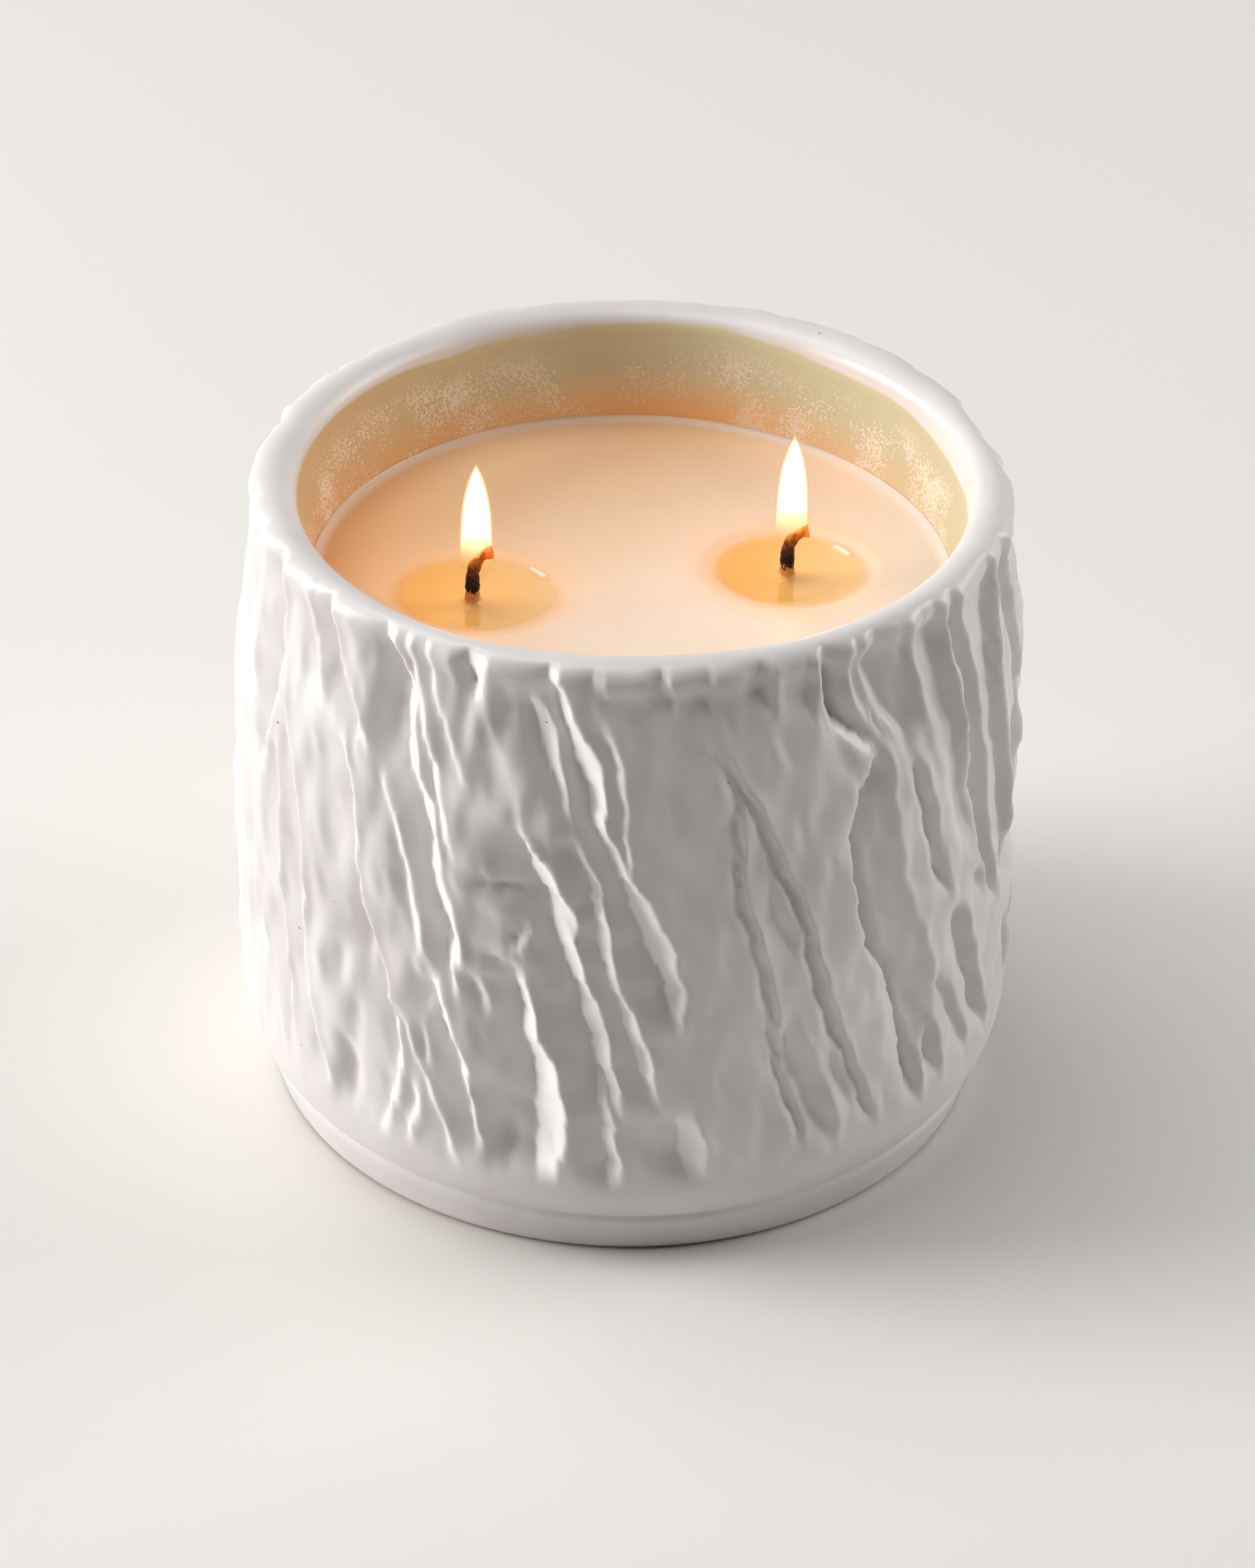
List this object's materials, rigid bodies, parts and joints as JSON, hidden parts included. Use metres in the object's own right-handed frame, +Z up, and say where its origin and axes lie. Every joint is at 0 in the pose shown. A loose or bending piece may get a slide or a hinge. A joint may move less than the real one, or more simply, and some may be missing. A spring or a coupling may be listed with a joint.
{
  "type": "container candle",
  "caption": "Round container candle: a thick glazed ceramic jar with a deep bark-like relief, filled with wax, with bent braided wicks standing in melted pools.",
  "frame": {"origin": "on the table, under the middle of the jar's bounding box", "axes": "+Z up out of the jar's mouth; the pictured front faces -Y, and the line through the wicks runs roughly along X"},
  "size_m": [0.1014, 0.1012, 0.0865],
  "materials": {
    "glaze": "white satin glaze with a few iron specks",
    "wax": "cream wax, satin, glowing warm from the flames",
    "melted_wax": "clear amber liquid wax",
    "wick_cotton": "braided cotton, charred above the pool and waxy below it",
    "wick_paper": "twisted paper core, matte",
    "tinplate": "stamped tinplate",
    "sticker_foam": "white double-sided foam sticker"
  },
  "bodies": {
    "root": {"jar": "glaze", "wax_fill": "wax", "melt_pool_left": "melted_wax", "melt_pool_right": "melted_wax", "wick_left": "wick_cotton", "wick_right": "wick_cotton", "wick_core_left": "wick_paper", "wick_core_right": "wick_paper", "wick_sustainer_left": "tinplate", "wick_sustainer_right": "tinplate", "wick_sticker_left": "sticker_foam", "wick_sticker_right": "sticker_foam"}
  },
  "joints": []
}
